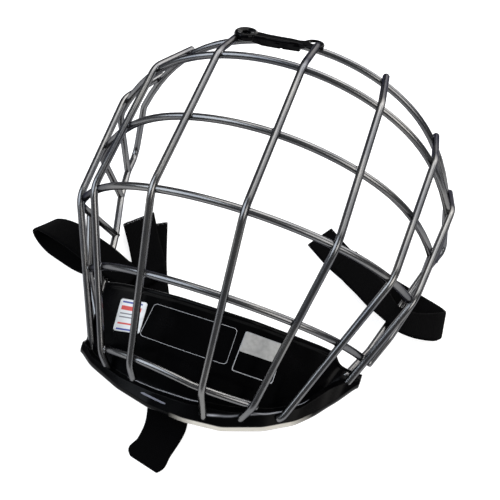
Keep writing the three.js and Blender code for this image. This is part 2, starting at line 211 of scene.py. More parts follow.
def bar_path(bar):
    points = bar_arc(bar.place, bar.left, bar.right, bar.swing)
    if bar.rear is not None:
        points = [REAR_LEFT[bar.rear], *points, REAR_RIGHT[bar.rear]]
    return bent(points, BAR_BEND)


top_bar = [*reversed(REAR_LEFT), *bar_arc(0, TOP_BAR_REACH, TOP_BAR_REACH, 0), *REAR_RIGHT]
wire_paths = [bent(top_bar, FRAME_BEND)]
wire_paths += [bar_path(bar) for bar in BARS]
wire_paths += [upright_path(upright) for upright in UPRIGHTS]
wire_paths += [bent([Vector(point) for point in side], UPRIGHT_BEND) for side in SIDE_UPRIGHTS]
wire_paths = [evened(path, WIRE_STEP) for path in wire_paths]


def new_piece(name, verts, faces, material, placing=LEANED):
    mesh = bpy.data.meshes.new(name)
    mesh.from_pydata([placing @ Vector(vert) for vert in verts], [], faces)
    shape = bmesh.new()
    shape.from_mesh(mesh)
    bmesh.ops.recalc_face_normals(shape, faces=shape.faces)
    shape.to_mesh(mesh)
    shape.free()
    mesh.shade_smooth()
    mesh.materials.append(material)
    piece = bpy.data.objects.new(name, mesh)
    scene.collection.objects.link(piece)
    return piece


def loft(sections):
    count = len(sections[0])
    verts = [point for section in sections for point in section]
    faces = []
    for s in range(len(sections) - 1):
        for k in range(count):
            a, b = s * count + k, s * count + (k + 1) % count
            faces.append((a, b, b + count, a + count))
    faces.append(tuple(range(count)))
    faces.append(tuple(reversed(range((len(sections) - 1) * count, len(sections) * count))))
    return verts, faces


def sweep(path, radius):
    tangents = np.gradient(path, axis=0)
    tangents /= np.linalg.norm(tangents, axis=1)[:, None]
    normal = np.cross(tangents[0], FIRST_SIDE)
    turns = [math.radians(turn) for turn in END_TURNS]
    cap = [(END_BULGE * math.sin(turn), math.cos(turn)) for turn in turns]
    rows = [(0, -reach, size) for reach, size in reversed(cap)]
    rows += [(k, 0, 1) for k in range(len(path))]
    rows += [(len(path) - 1, reach, size) for reach, size in cap]
    angles = [2 * math.pi * j / WIRE_SIDES for j in range(WIRE_SIDES)]
    sections = []
    for k, reach, size in rows:
        normal = normal - tangents[k] * (normal @ tangents[k])
        normal /= np.linalg.norm(normal)
        side = np.cross(tangents[k], normal)
        centre = path[k] + tangents[k] * reach * radius
        around = [math.cos(angle) * normal + math.sin(angle) * side for angle in angles]
        sections.append([centre + radius * size * way for way in around])
    return loft(sections)


def new_finish(name):
    material = bpy.data.materials.new(name)
    material.use_nodes = True
    return material, material.node_tree, material.node_tree.nodes["Principled BSDF"]


def speckle(tree, place, scale, detail=2):
    noise = tree.nodes.new("ShaderNodeTexNoise")
    noise.inputs["Scale"].default_value = scale
    noise.inputs["Detail"].default_value = detail
    tree.links.new(place, noise.inputs["Vector"])
    return noise.outputs["Fac"]


def toned(tree, bsdf, share, dark, light, low=0, high=1):
    ramp = tree.nodes.new("ShaderNodeValToRGB")
    for element, position, colour in zip(ramp.color_ramp.elements, (low, high), (dark, light)):
        element.position = position
        element.color = (*colour, 1)
    tree.links.new(share, ramp.inputs["Fac"])
    tree.links.new(ramp.outputs["Color"], bsdf.inputs["Base Color"])
    return ramp.outputs["Color"]


def dulled(tree, bsdf, share, low, high):
    span = tree.nodes.new("ShaderNodeMapRange")
    span.inputs["To Min"].default_value = low
    span.inputs["To Max"].default_value = high
    tree.links.new(share, span.inputs["Value"])
    tree.links.new(span.outputs["Result"], bsdf.inputs["Roughness"])
    return span


def relief(tree, bsdf, height, strength, depth):
    bump = tree.nodes.new("ShaderNodeBump")
    bump.inputs["Strength"].default_value = strength
    bump.inputs["Distance"].default_value = depth * MM
    tree.links.new(height, bump.inputs["Height"])
    tree.links.new(bump.outputs["Normal"], bsdf.inputs["Normal"])


steel, tree, bsdf = new_finish("satin_steel")
bsdf.inputs["Metallic"].default_value = 1.0
bsdf.inputs["Specular Tint"].default_value = (0.2, 0.2, 0.22, 1)
place = tree.nodes.new("ShaderNodeTexCoord").outputs["Object"]
cloud = speckle(tree, place, scale=34, detail=4)
toned(tree, bsdf, cloud, dark=(0.095, 0.098, 0.107), light=(0.17, 0.168, 0.165), low=0.32, high=0.68)
grain = speckle(tree, place, scale=900, detail=3)
dulled(tree, bsdf, grain, low=0.19, high=0.28)
relief(tree, bsdf, grain, strength=0.06, depth=0.2)

wire_verts, wire_faces = [], []
for path in wire_paths:
    verts, faces = sweep(path, WIRE_ROUND / 2)
    wire_faces += [tuple(len(wire_verts) + k for k in face) for face in faces]
    wire_verts += verts
wires = new_piece("cage_wires", wire_verts, wire_faces, steel)
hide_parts("wire_cage")
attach(wires, "root")

# Weld beads: the squeezed-out metal in the corners where two wires of the cage cross, of the same steel.
# One flattened bead sits between the wires at each crossing that is found along their middle lines.
BEAD_RADIUS = 2.25
BEAD_FLATNESS = 0.5
BEAD_LEAST, BEAD_MOST = 0.85, 1.12
BEAD_SEED = 7
WELD_REACH = 4.4
WELD_SPACING = 8
NEAREST_TRIED = 400
weld_places, weld_facings = [], []
for i, first in enumerate(wire_paths):
    for second in wire_paths[i + 1 :]:
        apart = np.linalg.norm(first[:, None] - second[None], axis=2)
        nearest = np.argsort(apart, axis=None)[:NEAREST_TRIED]
        for a, b in zip(*np.unravel_index(nearest, apart.shape)):
            if apart[a, b] > WELD_REACH:
                break
            spot = (first[a] + second[b]) / 2
            if all(np.linalg.norm(spot - other) > WELD_SPACING for other in weld_places):
                weld_places.append(spot)
                weld_facings.append(second[b] - first[a])


def facing_points(name, places, ways):
    mesh = bpy.data.meshes.new(name)
    mesh.from_pydata(places, [], [])
    facing = mesh.attributes.new("facing", "FLOAT_VECTOR", "POINT")
    facing.data.foreach_set("vector", np.ravel(ways))
    points = bpy.data.objects.new(name, mesh)
    scene.collection.objects.link(points)
    return points


def new_group(name, inputs, output):
    group = bpy.data.node_groups.new(name, "GeometryNodeTree")
    sockets = {}
    for label, kind in inputs:
        socket = group.interface.new_socket(label, in_out="INPUT", socket_type="NodeSocket" + kind)
        sockets[label] = socket.identifier
    group.interface.new_socket(output, in_out="OUTPUT", socket_type="NodeSocketGeometry")
    return group, sockets


def join(group, joins):
    for giver, leaves, taker, enters in joins:
        group.links.new(giver.outputs[leaves], taker.inputs[enters])


def grow(points, group, sockets, values):
    modifier = points.modifiers.new(group.name, "NODES")
    modifier.node_group = group
    for label, value in values:
        modifier[sockets[label]] = value
    grown = bpy.data.meshes.new_from_object(points.evaluated_get(bpy.context.evaluated_depsgraph_get()))
    points.modifiers.remove(modifier)
    points.data = grown


group, sockets = new_group(
    "beads_at_crossings",
    [
        ("Places", "Geometry"),
        ("Bead radius", "Float"),
        ("Flatness", "Float"),
        ("Seed", "Int"),
        ("Steel", "Material"),
    ],
    "Beads",
)
entry, leaving = group.nodes.new("NodeGroupInput"), group.nodes.new("NodeGroupOutput")
ball = group.nodes.new("GeometryNodeMeshUVSphere")
ball.inputs["Segments"].default_value = 18
ball.inputs["Rings"].default_value = 10
squeeze = group.nodes.new("ShaderNodeCombineXYZ")
squeeze.inputs["X"].default_value = 1
squeeze.inputs["Y"].default_value = 1
flatten = group.nodes.new("GeometryNodeTransform")
way = group.nodes.new("GeometryNodeInputNamedAttribute")
way.data_type = "FLOAT_VECTOR"
way.inputs["Name"].default_value = "facing"
turn = group.nodes.new("FunctionNodeAlignRotationToVector")
turn.axis = "Z"
vary = group.nodes.new("FunctionNodeRandomValue")
vary.inputs[2].default_value = BEAD_LEAST
vary.inputs[3].default_value = BEAD_MOST
spread = group.nodes.new("GeometryNodeInstanceOnPoints")
real = group.nodes.new("GeometryNodeRealizeInstances")
smooth = group.nodes.new("GeometryNodeSetShadeSmooth")
paint = group.nodes.new("GeometryNodeSetMaterial")
join(
    group,
    [
        (entry, "Places", spread, "Points"),
        (entry, "Bead radius", ball, "Radius"),
        (entry, "Flatness", squeeze, "Z"),
        (ball, "Mesh", flatten, "Geometry"),
        (squeeze, "Vector", flatten, "Scale"),
        (flatten, "Geometry", spread, "Instance"),
        (way, "Attribute", turn, "Vector"),
        (turn, "Rotation", spread, "Rotation"),
        (entry, "Seed", vary, "Seed"),
        (vary, 1, spread, "Scale"),
        (spread, "Instances", real, "Geometry"),
        (real, "Geometry", smooth, "Geometry"),
        (smooth, "Geometry", paint, "Geometry"),
        (entry, "Steel", paint, "Material"),
        (paint, "Geometry", leaving, "Beads"),
    ],
)
welds = facing_points(
    "cage_welds",
    [LEANED @ Vector(spot) for spot in weld_places],
    [LEANED.to_3x3() @ Vector(facing) for facing in weld_facings],
)
grow(
    welds,
    group,
    sockets,
    [("Bead radius", BEAD_RADIUS * MM), ("Flatness", BEAD_FLATNESS), ("Seed", BEAD_SEED), ("Steel", steel)],
)
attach(welds, "root")

# Chin cup: one moulding of glossy black plastic behind the wires. Its wall has a rolled upper edge and turns
# out at a crease into a lip that the wire ends go into. A pale painted highlight runs along the lip's ridges
# and parts of the crease, and a cream band under the middle of the rim is a painted reflection of the floor.
Station = namedtuple("Station", "across wall_back wall crease_back crease rim_back rim")
STATIONS = [
    Station(-68, 50, -97, 53, -130, 48, -136),
    Station(-60, 45, -95, 50, -136.5, 45, -141),
    Station(-40, 30, -92.5, 44, -140.5, 38, -147),
    Station(-20, 21, -91, 38, -140.5, 32, -150),
    Station(0, 18, -90.5, 36, -139.5, 30, -150.5),
    Station(20, 21, -90, 38, -136.5, 32, -148.5),
    Station(40, 30, -90.5, 42, -131, 35, -141.5),
    Station(55, 40, -91, 47, -123, 39, -133),
    Station(64, 48, -92, 49.5, -111, 42.5, -124.5),
    Station(66, 51, -97, 49.5, -107.5, 43.2, -121.5),
    Station(72, 52, -98.3, 48, -103.5, 44, -114.5),
    Station(80, 52, -98.8, 50, -100.2, 48, -103.5),
]
CUP_LEFT, CUP_RIGHT = STATIONS[0].across, STATIONS[-1].across
CUP_STEP = 1.0
BLUR = np.arange(-4, 5) * 0.9
BLUR_WEIGHT = np.exp(-((BLUR / 2.2) ** 2))
CUP_WALL = 2.6
WALL_ROWS = np.linspace(0.25, 0.85, 7)
CREASE_WALL = 5
CREASE_RISE = 0.08
LIP_FORWARD, LIP_RIDGE = 0.5, 0.2
LIP_ROWS = np.linspace(0.1, 0.94, 24)
RIM_RISE = 1
HEEL, HEEL_DROP, HEEL_SPREAD, HEEL_LEAST = 12.5, 2, 72, 0.45
ROLL, ROLL_DROP, ROLL_MOST = 0.9, 3.4, 0.2
RIDGE = 0.55
CORNER_REACH, CORNER_STEPS = 0.45, (0, 0.33, 0.67, 1)
CRISP = 0.1
Corner = namedtuple("Corner", "point bend shine")
Span = namedtuple("Span", "start ease_in end ease_out")
# Painted highlight: pale colour is painted along a line on the lip and along parts of the crease in place of
# a lamp's reflection. The lip line also raises a small ridge.
LIP_LINE_SPAN = Span(7.5, 2, 50, 5)
LIP_LINE_ACROSS = (8, 10.5, 17.5, 23.5, 30, 37.5)
LIP_LINE_PLACE = (0.46, 0.43, 0.31, 0.26, 0.12, 0)
LIP_LINE_WIDTH = 0.06
HIGHLIGHT_ACROSS, HIGHLIGHT_SHARE = (14, 18, 27, 31), (1, 0.4, 0.4, 0.7)
CREASE_HIGHLIGHT = 0.8
CREASE_SPANS = (Span(-37, 3, 7, 3), Span(49, 2, 58, 2))
# A cream band painted under the middle of the rim stands in for the reflection of the white floor on the
# glossy underside.
REFLECTION_SPAN = Span(-8, 14, 62, 10)
REFLECTION_RISE, REFLECTION_RISE_EASE = 1.4, 0.5
REFLECTION_DEPTH, REFLECTION_DEPTH_EASE = 3.3, 1.2


def station_at(across):
    table = np.array(STATIONS)
    spots = np.clip(across + BLUR, CUP_LEFT, CUP_RIGHT)
    columns = [np.interp(spots, table[:, 0], column) for column in table.T[1:]]
    return Station(across, *[np.average(column, weights=BLUR_WEIGHT) for column in columns])


def within(across, span):
    coming = np.clip((across - span.start) / span.ease_in, 0, 1)
    return coming * np.clip((span.end - across) / span.ease_out, 0, 1)


# Strength of the painted highlight along the lip line. The same strength sets the height of the line's small
# ridge.
def lip_line(across, share):
    place = np.interp(across, LIP_LINE_ACROSS, LIP_LINE_PLACE)
    painted_shine = np.interp(across, HIGHLIGHT_ACROSS, HIGHLIGHT_SHARE) * within(across, LIP_LINE_SPAN)
    return float(np.exp(-(((share - place) / LIP_LINE_WIDTH) ** 2)) * painted_shine)


# Strength of the painted highlight along the crease.
def crease_line(across):
    return float(CREASE_HIGHLIGHT * sum(within(across, span) for span in CREASE_SPANS))


def forward(along):
    normal = Vector((along.y, -along.x, 0)).normalized()
    return -normal if normal.x > 0 else normal


def cup_outline(across):
    row = station_at(across)
    heel = HEEL * max(HEEL_LEAST, 1 - (across / HEEL_SPREAD) ** 2)
    top, crease = Vector((row.wall_back, row.wall, 0)), Vector((row.crease_back, row.crease, 0))
    ridge = Vector((row.rim_back - LIP_FORWARD, row.crease + LIP_RIDGE * (row.rim - row.crease), 0))
    rim = Vector((row.rim_back, row.rim + RIM_RISE, 0))
    inside = Vector((row.crease_back + CREASE_WALL, row.crease + CREASE_RISE * (row.wall - row.crease), 0))
    down, lip = (crease - top).normalized(), rim - ridge
    out, lip_out = forward(down), forward(lip)
    roll = min(ROLL_DROP, ROLL_MOST * (crease - top).length)
    painted_shine = crease_line(across)
    corners = [
        Corner(top + Vector((CUP_WALL, 0, 0)), 1.1, 0),
        Corner(top + out * ROLL * 0.4, 1.1, 0),
        Corner(top + down * roll * 0.6 + out * ROLL, 1.4, 0),
        Corner(top + down * roll, 0.6, 0),
    ]
    corners += [Corner(top.lerp(crease, share), 0.4, 0) for share in WALL_ROWS]
    corners.append(Corner(crease, 0.6, 0))
    for share, shine in ((0.13, painted_shine), (0.22, painted_shine), (0.33, 0), (0.8, 0)):
        corners.append(Corner(crease.lerp(ridge, share), CRISP, shine))
    corners.append(Corner(ridge, 0.6, lip_line(across, 0)))
    for share in LIP_ROWS:
        shine = lip_line(across, share)
        corners.append(Corner(ridge + lip * share + lip_out * RIDGE * shine, CRISP, shine))
    corners += [
        Corner(rim, 0.8, 0),
        Corner(rim + Vector((1.5, -2, 0)), 0.9, 0),
        Corner(Vector((row.rim_back + heel, row.rim - HEEL_DROP, 0)), 2.5, 0),
        Corner(inside, 3, 0),
    ]
    outline, shines = [], []
    for k, (here, bend, shine) in enumerate(corners):
        back, on = corners[k - 1].point - here, corners[(k + 1) % len(corners)].point - here
        cut = min(bend, CORNER_REACH * back.length, CORNER_REACH * on.length)
        enter, leave = here + back.normalized() * cut, here + on.normalized() * cut
        for step in CORNER_STEPS:
            point = round_corner(enter, here, leave, step)
            outline.append(Vector((across, point.x, point.y)))
            shines.append(shine)
    return outline, shines


plastic, tree, bsdf = new_finish("gloss_black_plastic")
bsdf.inputs["Specular IOR Level"].default_value = 0.05
place = tree.nodes.new("ShaderNodeTexCoord").outputs["Object"]
mottle = speckle(tree, place, scale=60, detail=5)
tone = toned(tree, bsdf, mottle, dark=(0.0005, 0.0005, 0.0006), light=(0.0016, 0.0016, 0.002))
scuff = dulled(tree, bsdf, mottle, low=0.16, high=0.34)
scuff.name = "scuff"
scuff.inputs["From Min"].default_value = 0.3
scuff.inputs["From Max"].default_value = 0.75
relief(tree, bsdf, speckle(tree, place, scale=1400), strength=0.08, depth=0.2)
# Painted light: a cream painted reflection of the floor under the rim and a pale painted highlight along the
# lip's ridges and crease are mixed into the plastic's colour.
for attribute, colour in (("painted_floor_reflection", (0.62, 0.59, 0.53, 1)), ("painted_highlight", (0.42, 0.43, 0.47, 1))):
    mark = tree.nodes.new("ShaderNodeAttribute")
    mark.attribute_name = attribute
    mix = tree.nodes.new("ShaderNodeMix")
    mix.data_type = "RGBA"
    mix.inputs["B"].default_value = colour
    tree.links.new(mark.outputs["Fac"], mix.inputs["Factor"])
    tree.links.new(tone, mix.inputs["A"])
    tone = mix.outputs["Result"]
tree.links.new(tone, bsdf.inputs["Base Color"])

cup_spots = np.arange(CUP_LEFT, CUP_RIGHT + CUP_STEP / 2, CUP_STEP)
cup_sections, cup_shines = zip(*[cup_outline(across) for across in cup_spots])
cup_verts, cup_faces = loft(cup_sections)
cup = new_piece("chin_cup_shell", cup_verts, cup_faces, plastic)
# Share of the painted floor reflection at each point: near the rim's bottom edge and front, in the middle of
# the cup.
pale = []
for vert in cup_verts:
    row = station_at(vert.x)
    low = np.clip((row.rim + REFLECTION_RISE - vert.z) / REFLECTION_RISE_EASE, 0, 1)
    near = np.clip((row.rim_back + REFLECTION_DEPTH - vert.y) / REFLECTION_DEPTH_EASE, 0, 1)
    pale.append(low * near * within(vert.x, REFLECTION_SPAN))
for attribute, values in (("painted_highlight", np.ravel(cup_shines)), ("painted_floor_reflection", pale)):
    cup.data.attributes.new(attribute, "FLOAT", "POINT").data.foreach_set("value", values)
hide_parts("chin_cup")
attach(cup, "root")

# Cup labels: thin printed film stuck on the front of the cup's wall, left plain. A white sticker with bars of
# colour sits at the left, a fine white frame in the middle and a silver and black label at the right.
# One short grey stripe is printed on the lip below them.
STICKER = [(-54.6, -102.4), (-37.4, -99.8), (-37.5, -116.9), (-53.8, -120.2)]
PANEL = [(-33.5, -98.6), (12.8, -96.9), (12.2, -116.4), (-37.3, -117.4)]
PLATE = [(16.9, -96.5), (37.4, -96.8), (37.2, -118.1), (15.4, -118.0)]
PLATE_TOP = [PLATE[0], PLATE[1], (37.3, -107.2), (16.1, -107.2)]
LIP_STRIPE = [(-25.0, -144.2), (-10.5, -145.3), (-11.5, -146.2), (-26.0, -145.2)]
FILM, FILM_SEAT, THICK_FILM = 0.16, 0.02, 0.2
FILM_CORNER = 0.8
FRAME_CORNER, FRAME_STEPS, FRAME_PIECES = 0.5, 6, 24
PROBE = 0.5
WORN_TONE = 0.8
WHITE, BLUE, RED, GREY = (0.74, 0.75, 0.76), (0.03, 0.05, 0.3), (0.62, 0.07, 0.06), (0.2, 0.2, 0.22)
STICKER_BARS = [
    (0, WHITE),
    (0.06, BLUE),
    (0.11, WHITE),
    (0.2, RED),
    (0.33, WHITE),
    (0.42, GREY),
    (0.46, WHITE),
    (0.53, GREY),
    (0.57, WHITE),
    (0.72, RED),
    (0.77, WHITE),
    (0.9, BLUE),
    (0.95, WHITE),
]
BARS_SPAN = [(0, (0, 0, 0)), (0.1, (1, 1, 1)), (0.84, (0, 0, 0))]


def cup_front(across, level):
    row = station_at(across)
    ridge = row.crease + LIP_RIDGE * (row.rim - row.crease)
    levels = (row.rim + RIM_RISE, ridge, row.crease, row.wall)
    backs = (row.rim_back, row.rim_back - LIP_FORWARD, row.crease_back, row.wall_back)
    return Vector((across, np.interp(level, levels, backs), level))


def on_cup(across, level, lift):
    here = cup_front(across, level)
    side = cup_front(across + PROBE, level) - here
    up = cup_front(across, level + PROBE) - here
    normal = side.cross(up).normalized()
    if normal.y > 0:
        normal = -normal
    return here + normal * lift


def in_quad(corners, u, v):
    top = Vector(corners[0]).lerp(Vector(corners[1]), u)
    low = Vector(corners[3]).lerp(Vector(corners[2]), u)
    return top.lerp(low, v)


def film(name, corners, material, round_share, columns=24, rows=20):
    verts, faces, marks = [], [], []
    for lift in (FILM, FILM_SEAT):
        for i in range(rows + 1):
            v = 2 * i / rows - 1
            inner = max(0, (abs(v) - (1 - round_share)) / round_share)
            width = 1 - round_share * FILM_CORNER * (1 - math.sqrt(max(0, 1 - inner**2)))
            for j in range(columns + 1):
                u = (2 * j / columns - 1) * width
                across, level = in_quad(corners, (u + 1) / 2, (v + 1) / 2)
                verts.append(on_cup(across, level, lift))
                marks.append(((u + 1) / 2, (v + 1) / 2))
    count = (rows + 1) * (columns + 1)
    for i in range(rows):
        for j in range(columns):
            a = i * (columns + 1) + j
            square = (a, a + 1, a + columns + 2, a + columns + 1)
            faces.append(square)
            faces.append(tuple(count + k for k in reversed(square)))
    rim = [*range(columns), *[i * (columns + 1) + columns for i in range(rows)]]
    rim += [rows * (columns + 1) + j for j in range(columns, 0, -1)]
    rim += [i * (columns + 1) for i in range(rows, 0, -1)]
    for a, b in zip(rim, rim[1:] + rim[:1]):
        faces.append((a, b, b + count, a + count))
    piece = new_piece(name, verts, faces, material)
    layer = piece.data.uv_layers.new(name="label")
    for loop in piece.data.loops:
        layer.data[loop.index].uv = marks[loop.vertex_index]
    return piece


def film_frame(name, corners, material, round_share, width, lift):
    points = []
    for corner, (cu, cv) in enumerate(((1, 0), (1, 1), (0, 1), (0, 0))):
        for k in range(FRAME_STEPS + 1):
            angle = math.radians(-90 + corner * 90 + k * 90 / FRAME_STEPS)
            narrow = round_share * FRAME_CORNER
            u = cu + (1 - 2 * cu) * narrow + narrow * math.cos(angle)
            v = cv + (1 - 2 * cv) * round_share + round_share * math.sin(angle)
            points.append(Vector((u, v)))
    dense = []
    for a, b in zip(points, points[1:] + points[:1]):
        pieces = max(1, int((b - a).length * FRAME_PIECES))
        dense += [a.lerp(b, k / pieces) for k in range(pieces)]
    wide = (Vector(corners[1]) - Vector(corners[0])).length
    tall = (Vector(corners[3]) - Vector(corners[0])).length
    verts, faces = [], []
    for u, v in dense:
        for inset, face_lift in ((0, FILM_SEAT), (0, lift), (width, lift), (width, FILM_SEAT)):
            inner_u = 0.5 + (u - 0.5) * (1 - 2 * inset / wide)
            inner_v = 0.5 + (v - 0.5) * (1 - 2 * inset / tall)
            verts.append(on_cup(*in_quad(corners, inner_u, inner_v), face_lift))
    for k in range(len(dense)):
        on = (k + 1) % len(dense)
        for j in range(4):
            faces.append((4 * k + j, 4 * k + (j + 1) % 4, 4 * on + (j + 1) % 4, 4 * on + j))
    return new_piece(name, verts, faces, material)


def printed(name, colour, roughness, metallic=0):
    material, tree, bsdf = new_finish(name)
    bsdf.inputs["Metallic"].default_value = metallic
    bsdf.inputs["Roughness"].default_value = roughness
    place = tree.nodes.new("ShaderNodeTexCoord").outputs["Object"]
    wear = speckle(tree, place, scale=420, detail=6)
    toned(tree, bsdf, wear, [WORN_TONE * part for part in colour], colour, low=0.3, high=0.6)
    return material


def bands(tree, share, stops):
    ramp = tree.nodes.new("ShaderNodeValToRGB")
    ramp.color_ramp.interpolation = "CONSTANT"
    ramp.color_ramp.elements.remove(ramp.color_ramp.elements[1])
    ramp.color_ramp.elements[0].color = (*stops[0][1], 1)
    for position, colour in stops[1:]:
        ramp.color_ramp.elements.new(position).color = (*colour, 1)
    tree.links.new(share, ramp.inputs["Fac"])
    return ramp.outputs["Color"]


white_film = printed("white_film", WHITE, roughness=0.45)
tree = white_film.node_tree
base_colour = tree.nodes["Principled BSDF"].inputs["Base Color"]
plain_tone = base_colour.links[0].from_socket
spot = tree.nodes.new("ShaderNodeUVMap")
spot.uv_map = "label"
split = tree.nodes.new("ShaderNodeSeparateXYZ")
tree.links.new(spot.outputs["UV"], split.inputs["Vector"])
ink = tree.nodes.new("ShaderNodeMix")
ink.data_type = "RGBA"
tree.links.new(bands(tree, split.outputs["X"], BARS_SPAN), ink.inputs["Factor"])
tree.links.new(plain_tone, ink.inputs["A"])
tree.links.new(bands(tree, split.outputs["Y"], STICKER_BARS), ink.inputs["B"])
tree.links.new(ink.outputs["Result"], base_colour)
white_ink = printed("white_ink", (0.42, 0.43, 0.45), roughness=0.5)
silver_film = printed("silver_film", (0.52, 0.52, 0.51), roughness=0.42, metallic=0.35)
grey_ink = printed("grey_ink", (0.13, 0.135, 0.17), roughness=0.5)

sticker = film("sticker_blank", STICKER, white_film, round_share=0.16)
panel_frame = film_frame("panel_frame", PANEL, white_ink, round_share=0.09, width=0.2, lift=FILM)
plate_silver = film("plate_silver", PLATE_TOP, silver_film, round_share=0.12)
plate_frame = film_frame("plate_frame", PLATE, white_ink, round_share=0.08, width=0.4, lift=THICK_FILM)
lip_stripe = film("lip_stripe", LIP_STRIPE, grey_ink, round_share=0.2, rows=4)
for piece in (sticker, panel_frame, plate_silver, plate_frame, lip_stripe):
    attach(piece, "root")

# Top clip: a moulded black plastic clip that holds the top bar to the helmet's front. It is a dog bone with a
# thick raised eyelet at the left, a flat slotted eye at the right and two jaws that hook round the wire
# between them.
CLIP_TILT = math.radians(45)
CLIP_END_GAPS = (4, 1.9)
CLIP_RAISE = (2.8, 0.6)
CLIP_VOXEL = 0.24
EYE_SIDES = 40
SLAB_ROUND, SLAB_STEPS = 0.5, 4
left_top, right_top = bar_point(0, UPRIGHTS[2].top), bar_point(0, UPRIGHTS[3].top)
clip_run = (right_top - left_top).normalized()
outward = Vector((0, -math.sin(CLIP_TILT), math.cos(CLIP_TILT)))
clip_left = left_top + clip_run * CLIP_END_GAPS[0] + outward * CLIP_RAISE[0]
clip_right = right_top - clip_run * CLIP_END_GAPS[1] + outward * CLIP_RAISE[1]
clip_length = (clip_right - clip_left).length
clip_x = (clip_right - clip_left).normalized()
clip_z = (outward - clip_x * outward.dot(clip_x)).normalized()
clip_y = clip_z.cross(clip_x)
clip_place = Matrix.Translation(clip_left) @ Matrix((clip_x, clip_y, clip_z)).transposed().to_4x4()
Turning = namedtuple("Turning", "radius level")
EYELET = [
    Turning(5.0, 0.0),
    Turning(5.4, 0.7),
    Turning(5.4, 2.6),
    Turning(5.0, 3.7),
    Turning(4.2, 4.1),
    Turning(3.4, 3.8),
]
FLAT_EYE = [Turning(5.0, 1.4), Turning(5.4, 1.7), Turning(5.4, 2.6), Turning(5.0, 3.0)]
Slice = namedtuple("Slice", "across half_width low high")
NECK = [
    Slice(3.8, 3.6, -0.9, 3.6),
    Slice(8, 3.3, -1.9, 3.4),
    Slice(13, 2.9, -2.3, 3.2),
    Slice(clip_length / 2, 2.8, -2.3, 3.1),
    Slice(clip_length - 13, 2.8, -2.0, 3.0),
    Slice(clip_length - 8, 2.3, -1.0, 2.8),
    Slice(clip_length - 4, 2.8, 0.2, 2.9),
]
LEFT_JAW = [
    Slice(8.5, 2.6, -2.0, 1.4),
    Slice(10.2, 2.8, -2.5, 1.6),
    Slice(20.6, 2.9, -2.6, 1.6),
    Slice(21.2, 2.7, -2.2, 1.4),
]
RIGHT_JAW = [
    Slice(22.0, 2.5, -2.2, 1.4),
    Slice(22.6, 2.7, -2.6, 1.6),
    Slice(31.6, 2.6, -2.5, 1.6),
    Slice(32.2, 2.4, -2.1, 1.4),
]


def eye(across, outer, stretch, hole, hole_rise, hole_levels):
    rings = [(radius * stretch[0], radius * stretch[1], 0, level) for radius, level in outer]
    rings += [(*hole, hole_rise, level) for level in hole_levels]
    verts, faces = [], []
    for row, (wide, tall, rise, level) in enumerate(rings):
        on = (row + 1) % len(rings)
        for k in range(EYE_SIDES):
            angle = 2 * math.pi * k / EYE_SIDES
            verts.append((across + wide * math.cos(angle), tall * math.sin(angle) + rise, level))
            j = (k + 1) % EYE_SIDES
            here, there = row * EYE_SIDES, on * EYE_SIDES
            faces.append((here + k, here + j, there + j, there + k))
    return verts, faces


def slab(slices):
    sections = []
    for across, half_width, low, high in slices:
        corner = min(half_width, (high - low) / 2) * SLAB_ROUND
        side, under, over = half_width - corner, low + corner, high - corner
        section = []
        for y, z, start in ((side, over, 0), (-side, over, 90), (-side, under, 180), (side, under, 270)):
            for step in range(SLAB_STEPS + 1):
                angle = math.radians(start + step * 90 / SLAB_STEPS)
                section.append(Vector((across, y + corner * math.cos(angle), z + corner * math.sin(angle))))
        sections.append(section)
    return loft(sections)


clip_shape = bmesh.new()
for verts, faces in (
    eye(0.6, EYELET, stretch=(1.25, 1.1), hole=(2.3, 1.8), hole_rise=0.4, hole_levels=(3.2, 0.0)),
    eye(clip_length, FLAT_EYE, stretch=(1.1, 1), hole=(2.6, 2.4), hole_rise=1.9, hole_levels=(3.0, 1.4)),
    slab(NECK),
    slab(LEFT_JAW),
    slab(RIGHT_JAW),
):
    made = [clip_shape.verts.new(LEANED @ (clip_place @ Vector(vert))) for vert in verts]
    for face in faces:
        clip_shape.faces.new([made[k] for k in face])
bmesh.ops.recalc_face_normals(clip_shape, faces=clip_shape.faces)
clip_mesh = bpy.data.meshes.new("top_clip_moulding")
clip_shape.to_mesh(clip_mesh)
clip_shape.free()
clip = bpy.data.objects.new("top_clip_moulding", clip_mesh)
scene.collection.objects.link(clip)
fuse = clip.modifiers.new("fuse", "REMESH")
fuse.mode = "VOXEL"
fuse.voxel_size = CLIP_VOXEL * MM
soften = clip.modifiers.new("soften", "SMOOTH")
soften.factor = 0.5
soften.iterations = 4
clip.data = bpy.data.meshes.new_from_object(clip.evaluated_get(bpy.context.evaluated_depsgraph_get()))
clip.modifiers.clear()
clip.data.shade_smooth()
clip_plastic = plastic.copy()
clip_plastic.name = "clip_black_plastic"
clip_plastic.node_tree.nodes["Principled BSDF"].inputs["Specular IOR Level"].default_value = 0.06
clip_plastic.node_tree.nodes["scuff"].inputs["To Min"].default_value = 0.04
clip_plastic.node_tree.nodes["scuff"].inputs["To Max"].default_value = 0.12
clip.data.materials.append(clip_plastic)
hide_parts("top_clip")
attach(clip, "root")

# Straps: flat black nylon webbing, woven with a fine rib and a thin selvage, that ties the cage to a helmet.
# The left one folds at a slant and makes an open loop round the rear frame, the right one makes a lower loop
# round it, and the tail lies under the cup with its end out in front. All their ends are cut.
FLOOR_GAP = 0.000005
FLOOR = Matrix.Translation((CENTRE_X, CENTRE_Y, FLOOR_GAP)) @ Matrix.Scale(MM, 4)
WEB_THICKNESS = 1.6
SELVAGE, SELVAGE_THINNING = 0.06, 0.5
WEB_STEP = 1.0
WEB_COLUMNS = 20
